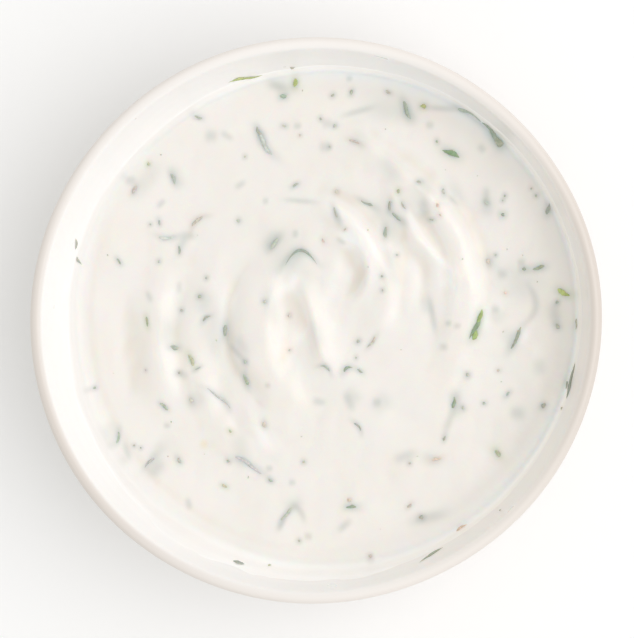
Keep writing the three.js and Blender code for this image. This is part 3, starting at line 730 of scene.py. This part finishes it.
def stains_and_shading(x, y):
    """Colour that pieces in and on the dip lend to it, with painted shade and painted light, as a factor for
    each channel.
    """
    factor = np.ones((len(x), 3))
    for rows, colour, strength, margin in STAINS_AND_SHADING:
        for px, py, heading, length, width, bow in centred_pieces(rows):
            turn = math.radians(heading)
            forward = (x - px) * math.cos(turn) + (y - py) * math.sin(turn)
            sideways = -(x - px) * math.sin(turn) + (y - py) * math.cos(turn)
            along = forward / (length / 2 + margin)
            across = (sideways - bow * np.clip(1 - along**2, 0, 1)) / (width / 2 + margin)
            near = np.exp(-(np.abs(across) ** 2.2) - np.abs(along) ** 3)
            factor *= 1 - (strength * near)[:, None] * (1 - np.array(colour))
    return factor


def crease(z):
    """How deep each point of the dip's grid lies under those round it, 0 to 1."""
    side = DIP_CELLS + 1
    z = z.reshape(side, side)
    padded = np.pad(z, CREASE_REACH, mode="edge")
    around = np.zeros_like(z)
    for turn in np.linspace(0, 2 * math.pi, 8, endpoint=False):
        top = CREASE_REACH + round(CREASE_REACH * math.sin(turn))
        left = CREASE_REACH + round(CREASE_REACH * math.cos(turn))
        around += padded[top:top + side, left:left + side] / 8
    return smoothstep((around - z).ravel(), 0.02, 0.40)


def film_over_wall(share, up, angle):
    """How far along the dip's edge each point lies, and how far off the wall the film is there."""
    reach = film_height(angle)
    along = FILLET_LENGTH * np.minimum(share / FILLET_SHARE, 1) + reach * up
    streak = 1 + 0.25 * np.sin(23 * angle + 3 * up) + 0.2 * np.sin(47 * angle)
    from_bead = (along - FILLET_LENGTH - BEAD_PLACE) / BEAD_WIDTH
    bead = BEAD * np.exp(-(from_bead**2)) * smoothstep(reach, 3, 1.4) * by_direction(BEAD_LINE, angle)
    film = FILM_THICKNESS * streak * (1 - up**6) + bead - FILM_TUCK * up**6
    return along, film


def edge_tint(tint, radius, angle, out, share):
    """The dip's tint with the light that the wall lends to its edge. Points in out lie on the edge, at a
    share of the way across it."""
    edge_angle = angle[out]
    tint[out] = 1 + (tint[out] - 1) * (1 - smoothstep(share, 0.05, 0.5))[:, None]
    # painted light on the dip's edge, except where the wall faces the light
    pale = EDGE_PAINTED_LIGHT * (1 - smoothstep(-np.cos(edge_angle), 0.2, 0.7)) * smoothstep(share, 0, 0.2)
    tint[out] *= 1 + pale[:, None]
    near_wall = 1 - smoothstep(level_radius - radius, 0.8, GLOW_REACH)
    glow = by_direction(EDGE_GLOW, angle) * near_wall
    glow[out] *= 1 - smoothstep(share, 0.2, 0.9)
    tint *= 1 + glow[:, None]
    cool = by_direction(EDGE_COOL, angle) * near_wall
    cool[out] *= 1 - smoothstep(share, 0, 0.4)
    tint *= 1 + cool[:, None] * np.array(COOL_LIGHT)
    # painted shade: the film on the wall takes the wall's warm shade
    warm = by_direction(WALL_SHADE_WARMTH, edge_angle) * smoothstep(share, 0.1, 0.5)
    tint[out] *= 1 - warm[:, None] * (1 - np.array(GLAZE_SHADE_WARM) / np.array(GLAZE_INSIDE))
    return tint


def under_side(angle, height):
    """Rings of the dip's hidden side, down the wall from its edge and in over the floor."""
    top_t = wall_t_at_height(height)
    rings = []
    for step in np.linspace(0.97, 0, UNDER_RINGS):
        point = wall_point(top_t * step, -SUNK)
        point[:, 0] += wander(angle, point[:, 1])
        rings.append(stand_on(point[:, 0], angle, point[:, 1]))
    return rings


def make_dip():
    ring, angle = square_to_disc(DIP_CELLS)
    edge_start = 1 - 2 * EDGE_RINGS / DIP_CELLS
    radius = np.minimum(ring / edge_start, 1) * surface_radius
    x, y = to_oval(radius, angle)
    z = surface_height(x, y)
    # painted shade: the dip is darker and warmer deep in its creases
    tint = stains_and_shading(x, y) * (1 - crease(z)[:, None] * (1 - np.array(CREASE_SHADE)))
    # the outer rings climb from the open surface on to the wall and end in a thin film
    out = ring > edge_start + 1e-9
    share = (ring[out] - edge_start) / (1 - edge_start)
    up = np.clip((share - FILLET_SHARE) / (1 - FILLET_SHARE), 0, 1)
    along, film = film_over_wall(share, up, angle[out])
    line = edge_line(along, angle[out], z[out], film)
    x[out], y[out] = to_oval(line[:, 0], angle[out])
    z[out] = line[:, 1]
    tint = edge_tint(tint, radius, angle, out, share)
    thin = np.zeros(len(x))
    thin[out] = 0.45 * smoothstep(share, 0, FILLET_SHARE) + 0.55 * up
    top = np.arange(len(x)).reshape(DIP_CELLS + 1, DIP_CELLS + 1)
    cells = np.stack([top[:-1, :-1], top[:-1, 1:], top[1:, 1:], top[1:, :-1]], axis=-1)
    loop = np.concatenate([top[0, :-1], top[:-1, -1], top[-1, :0:-1], top[:0:-1, 0]])
    rings = under_side(angle[loop], z[loop])
    under = len(x) + np.arange(len(loop) * UNDER_RINGS).reshape(UNDER_RINGS, -1)
    vertices = np.vstack([np.stack([x, y, z], axis=1), *rings, [[0, 0, FLOOR_HEIGHT - SUNK]]])
    faces = cells.reshape(-1, 4).tolist()
    faces += tube(np.vstack([loop, under])[::-1]) + fan(under[-1, ::-1], len(vertices) - 1)
    dip = make_object("dip_cream", vertices, faces)
    # the film's edge stays sharp, so that its shading doesn't run on to the hidden side
    on_loop = np.zeros(len(vertices), bool)
    on_loop[loop] = True
    ends = np.empty(2 * len(dip.data.edges), np.int32)
    dip.data.edges.foreach_get("vertices", ends)
    sharp = on_loop[ends.reshape(-1, 2)].all(axis=1)
    dip.data.edges.foreach_set("use_edge_sharp", sharp.tolist())
    colours = np.ones((len(vertices), 3))
    colours[: len(tint)] = tint
    paint(dip, "tint", colours)
    amount(dip, "thin", np.append(thin, np.ones(len(vertices) - len(thin))))
    return dip


SLIM = 0.8  # share of a piece's noted width that stands clear of its blurred edge
FLATNESS = 0.5  # a piece's thickness as a share of its width


def spindle(row, sides, rings, lift, random):
    """One piece laid along the dip: a thin bent spindle whose ends dip under the surface."""
    x, y, heading, length, width, bow = row
    width = width * SLIM
    sink = random.uniform(0.05, 0.55, 2)
    along = np.linspace(-1, 1, rings)
    around = np.linspace(0, 2 * math.pi, sides, endpoint=False)
    point = random.uniform(0.7, 1.5)
    fullest = random.uniform(-0.45, 0.45)
    reach = np.where(along < fullest, 1 + fullest, 1 - fullest)
    taper = (1 - np.abs((along - fullest) / reach) ** 1.8) ** point
    ragged = 1 + 0.16 * random.uniform(-1, 1, (rings, 1)) + 0.10 * random.uniform(-1, 1, (rings, sides))
    half_width = taper[:, None] * ragged * width / 2
    ring_along, ring_around = np.meshgrid(along, around, indexing="ij")
    wobble = 0.04 * length * np.sin(ring_along * random.uniform(2, 4) + random.uniform(0, 6))
    forward = ring_along * length / 2
    sideways = bow * (1 - ring_along**2) + wobble + np.cos(ring_around) * half_width
    turn = math.radians(heading)
    px = x + forward * math.cos(turn) - sideways * math.sin(turn)
    py = y + forward * math.sin(turn) + sideways * math.cos(turn)
    sunk = np.where(ring_along < 0, sink[0], sink[1]) * ring_along**2
    up = np.sin(ring_around) * half_width * FLATNESS + width * (lift - sunk)
    # both ends taper to a point, so one vertex stands for the whole of the first and the last ring
    kept = slice(sides - 1, (rings - 1) * sides + 1)
    points = drape(px.ravel()[kept], py.ravel()[kept], up.ravel()[kept])
    numbers = 1 + np.arange((rings - 2) * sides).reshape(-1, sides)
    faces = tube(numbers) + fan(numbers[0, ::-1], 0) + fan(numbers[-1], len(points) - 1)
    return points, faces, ring_along.ravel()[kept], np.sin(ring_around).ravel()[kept]


def join_pieces(name, kinds, seed):
    """One mesh from every piece of the kinds, which are rows such as those of DILL_KINDS."""
    random = np.random.default_rng(seed)
    vertices, faces, colours = [], [], []
    base = 0
    for rows, colour, end_colour, sides, rings, lift in kinds:
        for row in centred_pieces(rows):
            length = row[3]
            points, quads, along, over = spindle(row, sides, rings + int(length), lift, random)
            shade = random.uniform(0.85, 1.15)
            tone = np.array(colour) * shade * random.uniform(0.94, 1.06, 3)
            wet = 0.25 * float(smoothstep(length, 2.4, 0.6))
            # the ends are wetted by the dip; the sides also get the paler colour, as painted light against
            # their shade
            wet_and_side_light = np.maximum(np.abs(along) ** 3, 0.8 * (1 - np.clip(over, 0, 1)))
            fade = (wet + (0.7 - wet) * wet_and_side_light)[:, None]
            vertices.append(points)
            faces += [[base + number for number in face] for face in quads]
            colours.append(tone * (1 - fade) + np.array(end_colour) * fade)
            base += len(points)
    piece = make_object(name, np.vstack(vertices), faces)
    paint(piece, "tone", np.clip(np.vstack(colours), 0, 1))
    return piece


def speck_rows():
    random = np.random.default_rng(SPECK_SEED)
    rows = []
    while len(rows) < SPECK_COUNT:
        x, y = random.uniform(-50, 50, 2)
        if math.hypot(x, y) < SPECK_REACH:
            size = random.uniform(*SPECK_SIZES)
            rows.append((x, y, random.uniform(0, 180), size * random.uniform(1, 2.4), size))
    return rows


# ---------------------------------------------------------------- materials


class Nodes:
    """A material's nodes, with short calls to add and link them."""

    def __init__(self, name):
        self.material = bpy.data.materials.new(name)
        self.material.use_nodes = True
        self.tree = self.material.node_tree
        self.shader = self.tree.nodes["Principled BSDF"]

    def add(self, kind, **settings):
        node = self.tree.nodes.new(kind)
        for key, value in settings.items():
            setattr(node, key, value)
        return node

    def link(self, output, socket):
        self.tree.links.new(output, socket)

    def place(self):
        return self.add("ShaderNodeTexCoord").outputs["Object"]

    def noise(self, scale, detail):
        """Noise with features of about 1 / scale metres."""
        node = self.add("ShaderNodeTexNoise")
        node.inputs["Scale"].default_value = scale
        node.inputs["Detail"].default_value = detail
        self.link(self.place(), node.inputs["Vector"])
        return node.outputs["Fac"]

    def attribute(self, name):
        return self.add("ShaderNodeAttribute", attribute_name=name)

    def spread(self, value, low, high, to_low=0.0, to_high=1.0):
        """The value carried from low and high to to_low and to_high, and held there past them."""
        node = self.add("ShaderNodeMapRange")
        ends = {"From Min": low, "From Max": high, "To Min": to_low, "To Max": to_high}
        for key, end in ends.items():
            node.inputs[key].default_value = end
        self.link(value, node.inputs["Value"])
        return node.outputs["Result"]

    def mix(self, factor, a, b, blend="MIX"):
        node = self.add("ShaderNodeMix", data_type="RGBA", blend_type=blend)
        sockets = {"factor": node.inputs[0], "a": node.inputs[6], "b": node.inputs[7]}
        for key, value in (("factor", factor), ("a", a), ("b", b)):
            if isinstance(value, tuple):
                sockets[key].default_value = (*value, 1)
            elif isinstance(value, (int, float)):
                sockets[key].default_value = value
            else:
                self.link(value, sockets[key])
        return node.outputs[2]

    def bump(self, height, strength, distance):
        node = self.add("ShaderNodeBump")
        node.inputs["Strength"].default_value = strength
        node.inputs["Distance"].default_value = distance
        self.link(height, node.inputs["Height"])
        self.link(node.outputs["Normal"], self.shader.inputs["Normal"])

    def set(self, **values):
        """Constants of the shader, whose sockets are named with _ for each space."""
        for key, value in values.items():
            self.shader.inputs[key.replace("_", " ")].default_value = value


def glaze_material():
    n = Nodes("stoneware_glaze")
    tone = n.attribute("tone").outputs["Fac"]
    cloud = n.spread(n.noise(55, 1), 0.2, 0.8)
    inside = n.mix(cloud, GLAZE_INSIDE, GLAZE_INSIDE_DEEP)
    outside = n.mix(cloud, GLAZE_OUTSIDE, GLAZE_OUTSIDE_PALE)
    colour = n.mix(n.spread(tone, 0, 1), inside, outside)
    # painted shade: warm colour on the inside wall where it is turned from the light
    colour = n.mix(n.attribute("warm").outputs["Fac"], colour, GLAZE_SHADE_WARM)
    colour = n.mix(n.attribute("lip").outputs["Fac"], colour, GLAZE_LIP)
    colour = n.mix(n.spread(tone, 1, 2), colour, BARE_CLAY)
    n.link(colour, n.shader.inputs["Base Color"])
    rough = n.spread(n.noise(140, 1), 0.2, 0.8, 0.26, 0.40)
    bare = n.mix(n.spread(tone, 1, 2), rough, (0.75, 0.75, 0.75))
    n.link(bare, n.shader.inputs["Roughness"])
    n.bump(n.noise(160, 2), 0.10, 0.0005)
    n.set(IOR=1.5, Specular_IOR_Level=0.45)
    return n.material


def cream_material():
    n = Nodes("tzatziki_cream")
    tint = n.attribute("tint").outputs["Color"]
    cloud = n.spread(n.noise(70, 4), 0.35, 0.68)
    body = n.mix(cloud, CREAM, CREAM_WARM)
    whey = n.spread(n.noise(240, 3), 0.55, 0.75, 0, 0.16)
    body = n.mix(whey, body, WHEY)
    thin = n.attribute("thin").outputs["Fac"]
    colour = n.mix(1.0, n.mix(thin, body, GLAZE_INSIDE), tint, "MULTIPLY")
    n.link(colour, n.shader.inputs["Base Color"])
    n.link(n.spread(thin, 0, 0.35, 0.8, 0), n.shader.inputs["Subsurface Weight"])
    rough = n.spread(n.noise(300, 3), 0.3, 0.7, 0.30, 0.42)
    n.link(rough, n.shader.inputs["Roughness"])
    n.bump(n.noise(700, 3), 0.10, 0.0004)
    n.set(IOR=1.45, Specular_IOR_Level=0.75)
    n.set(Subsurface_Scale=0.002, Subsurface_Radius=(1.0, 0.62, 0.4))
    return n.material


def fleck_material(name, rough, noise_scale, dark, light):
    n = Nodes(name)
    tone = n.attribute("tone").outputs["Color"]
    grain = n.spread(n.noise(noise_scale, 3), 0.3, 0.7)
    veins = n.mix(grain, dark, light)
    n.link(n.mix(1.0, tone, veins, "MULTIPLY"), n.shader.inputs["Base Color"])
    gloss = n.noise(noise_scale / 2, 2)
    n.link(n.spread(gloss, 0.3, 0.7, rough - 0.08, rough + 0.1), n.shader.inputs["Roughness"])
    n.bump(n.noise(noise_scale, 3), 0.2, 0.0002)
    n.set(Specular_IOR_Level=0.2, Subsurface_Weight=0.15, Subsurface_Scale=0.0006)
    return n.material


def floor_material():
    n = Nodes("pale_table")
    cloud = n.spread(n.noise(6, 3), 0.3, 0.7)
    n.link(n.mix(cloud, TABLE, TABLE_PALE), n.shader.inputs["Base Color"])
    n.set(Roughness=0.85, Specular_IOR_Level=0.2)
    return n.material


# ---------------------------------------------------------------- camera and light

CAMERA_TILT = 11  # degrees from straight down
CAMERA_AZIMUTH = 17.4
CAMERA_DISTANCE = 620  # from the middle of the rim's plane
CAMERA_RIGHT = 1.57
CAMERA_UP = 0.69
CAMERA_LENS = 167.8
SENSOR_WIDTH = 36


def make_camera():
    tilt, azimuth = math.radians(CAMERA_TILT), math.radians(CAMERA_AZIMUTH)
    axis = (-math.sin(azimuth), math.cos(azimuth), 0)
    turn = Matrix.Rotation(tilt, 4, axis)
    rim = Matrix.Translation((0, 0, BOWL_HEIGHT * MM))
    away = Matrix.Translation((CAMERA_RIGHT * MM, CAMERA_UP * MM, CAMERA_DISTANCE * MM))
    camera = bpy.data.objects.new("camera", bpy.data.cameras.new("camera"))
    camera.data.lens = CAMERA_LENS
    camera.data.sensor_width = SENSOR_WIDTH
    camera.data.clip_start = 0.01
    camera.data.clip_end = 20
    camera.matrix_world = rim @ turn @ away
    bpy.context.scene.collection.objects.link(camera)
    bpy.context.scene.camera = camera


LIGHT_AZIMUTH = 4
LIGHT_ELEVATION = 55
LIGHT_DISTANCE = 1.1  # metres, as the light's size is
LIGHT_SIZE = 0.95
LIGHT_POWER = 5.35
LIGHT_COLOUR = (1.0, 0.98, 0.995)
SKY_STRENGTH = 0.77
SKY_COLOUR = (1.0, 1.0, 0.975)


def make_light():
    azimuth, elevation = math.radians(LIGHT_AZIMUTH), math.radians(LIGHT_ELEVATION)
    data = bpy.data.lights.new("window", "AREA")
    data.shape = "DISK"
    data.size = LIGHT_SIZE
    data.energy = LIGHT_POWER
    data.color = LIGHT_COLOUR
    light = bpy.data.objects.new("window", data)
    swing = Matrix.Rotation(azimuth + math.pi / 2, 4, "Z")
    lower = Matrix.Rotation(math.pi / 2 - elevation, 4, "X")
    light.matrix_world = swing @ lower @ Matrix.Translation((0, 0, LIGHT_DISTANCE))
    bpy.context.scene.collection.objects.link(light)
    world = bpy.data.worlds.new("studio")
    world.use_nodes = True
    sky = world.node_tree.nodes["Background"]
    sky.inputs["Color"].default_value = (*SKY_COLOUR, 1)
    sky.inputs["Strength"].default_value = SKY_STRENGTH
    bpy.context.scene.world = world


TABLE_HALF = 1500


def make_floor():
    corners = [(TABLE_HALF * a, TABLE_HALF * b, 0) for a, b in ((-1, -1), (1, -1), (1, 1), (-1, 1))]
    floor = make_object("table_top", corners, [(0, 1, 2, 3)])
    floor.data.materials.append(floor_material())


# ---------------------------------------------------------------- the scene

make_camera()
make_light()
make_floor()

bowl = make_bowl()
bowl.data.materials.append(glaze_material())
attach(bowl, "root")
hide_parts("bowl")

dip = make_dip()
dip.data.materials.append(cream_material())
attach(dip, "root")
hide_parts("dip")

leaves = join_pieces("dill_leaves", DILL_KINDS, seed=11)
leaves.data.materials.append(fleck_material("dill_leaf", 0.45, 1500, (0.78, 0.82, 0.75), (1.1, 1.08, 1.05)))
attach(leaves, "root")

spice = join_pieces("spice_bits", SPICE_KINDS, seed=12)
spice.data.materials.append(fleck_material("spice_bit", 0.5, 1700, (0.82, 0.8, 0.78), (1.1, 1.12, 1.12)))
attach(spice, "root")

specks = join_pieces("fine_specks", [(speck_rows(), *SPECK_LOOK)], seed=13)
specks.data.materials.append(fleck_material("fine_speck", 0.5, 2500, (0.8, 0.8, 0.75), (1.15, 1.15, 1.1)))
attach(specks, "root")

bpy.context.scene.view_settings.view_transform = "Standard"
bpy.context.scene.view_settings.look = "None"
